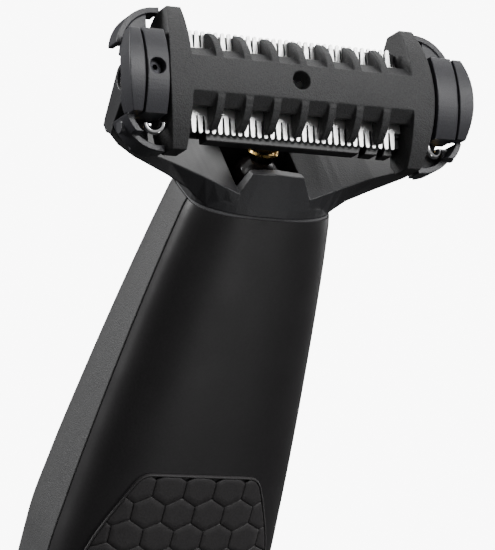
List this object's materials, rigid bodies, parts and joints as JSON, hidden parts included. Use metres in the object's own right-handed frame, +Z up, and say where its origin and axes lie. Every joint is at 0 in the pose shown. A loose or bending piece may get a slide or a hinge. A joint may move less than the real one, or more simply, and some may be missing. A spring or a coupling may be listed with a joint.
{
  "type": "body groomer",
  "caption": "Cordless body groomer: waisted grip handle, forked neck, tilting two-edged cutter head and pull-off comb guard.",
  "frame": {"origin": "on the flat base, straight under the head's tilt axis", "axes": "+Z up the handle, front towards -Y, +X to the right seen from the front"},
  "size_m": [0.0562, 0.0264, 0.1567],
  "materials": {
    "shell_grey": "fine matt grain, moulded",
    "panel_black": "satin black, smooth",
    "grip_rubber": "matt rubber with moulded hexagons",
    "base_plastic": "fine matt grain",
    "socket_plastic": "smooth black",
    "screw_steel": "zinc-plated steel",
    "battery_wrap": "shrink sleeve",
    "nickel_strip": "nickel strip",
    "board_green": "solder resist",
    "switch_black": "moulded",
    "button_grey": "soft satin",
    "seal_rubber": "smooth rubber",
    "lens_clear": "frosted light guide",
    "frame_plastic": "natural acetal",
    "motor_steel": "drawn steel can",
    "shaft_steel": "ground steel",
    "acetal_white": "natural acetal",
    "lever_black": "glossy black acetal",
    "spring_brass": "gold-coloured spring wire",
    "neck_grey": "fine matt grain",
    "seam_grey": "thin seal, paler grey",
    "boot_black": "glossy black rubber",
    "pin_steel": "ground steel",
    "housing_black": "smooth black",
    "cap_grey": "satin, slightly blue",
    "pin_brass": "turned brass",
    "clip_chrome": "bright wire",
    "blade_steel": "bright ground stainless steel",
    "carrier_black": "glass-filled plastic",
    "guard_grey": "fine spark-eroded grain"
  },
  "bodies": {
    "handle": {"rear_shell": "shell_grey", "front_panel": "panel_black", "grip_pad": "grip_rubber", "base_cap": "base_plastic", "charging_socket": "socket_plastic", "shell_screws": "screw_steel", "battery": "battery_wrap", "battery_tabs": "nickel_strip", "circuit_board": "board_green", "tact_switch": "switch_black", "button_seal": "seal_rubber", "charge_lens": "lens_clear", "drive_frame": "frame_plastic", "motor": "motor_steel", "lever_pin": "pin_steel", "neck_seal": "seam_grey", "head_yoke": "neck_grey", "drive_boot": "boot_black", "pivot_pins": "pin_steel"},
    "button": {"power_button": "button_grey"},
    "rotor": {"motor_shaft": "shaft_steel", "eccentric": "acetal_white"},
    "lever": {"drive_lever": "lever_black", "drive_spring": "spring_brass"},
    "head": {"head_housing": "housing_black", "left_end_cap": "cap_grey", "right_end_cap": "cap_grey", "end_cap_screw": "screw_steel", "return_pins": "pin_brass", "retaining_clips": "clip_chrome", "fixed_blade": "blade_steel"},
    "blades": {"moving_blade": "blade_steel", "blade_carrier": "carrier_black"},
    "guard": {"comb_guard": "guard_grey"}
  },
  "joints": [
    {"name": "button_press", "type": "slide", "parent": "handle", "child": "button", "axis": [0, 1, 0], "range_m": [0, 0.0006], "stiffness_N_per_m": 1500},
    {"name": "motor_spin", "type": "hinge", "parent": "handle", "child": "rotor", "pos_m": [0, 0.002, 0.1], "axis": [0, 0, 1], "continuous": true},
    {"name": "lever_rock", "type": "hinge", "parent": "handle", "child": "lever", "pos_m": [0, 0.002, 0.121], "axis": [0, 1, 0], "range_deg": [-2.3, 2.3]},
    {"name": "head_pivot", "type": "hinge", "parent": "handle", "child": "head", "pos_m": [0, 0, 0.1467], "axis": [1, 0, 0], "range_deg": [-12, 12], "stiffness_Nm_per_rad": 0.05},
    {"name": "blade_slide", "type": "slide", "parent": "head", "child": "blades", "axis": [1, 0, 0], "range_m": [-0.0008, 0.0008]},
    {"name": "guard_pull", "type": "slide", "parent": "head", "child": "guard", "axis": [0, -0.7547, 0.6561], "range_m": [0, 0.012]}
  ],
  "couplings": [
    {"joint": "lever_rock", "follows": "blade_slide", "rad_per_m": 42}
  ]
}
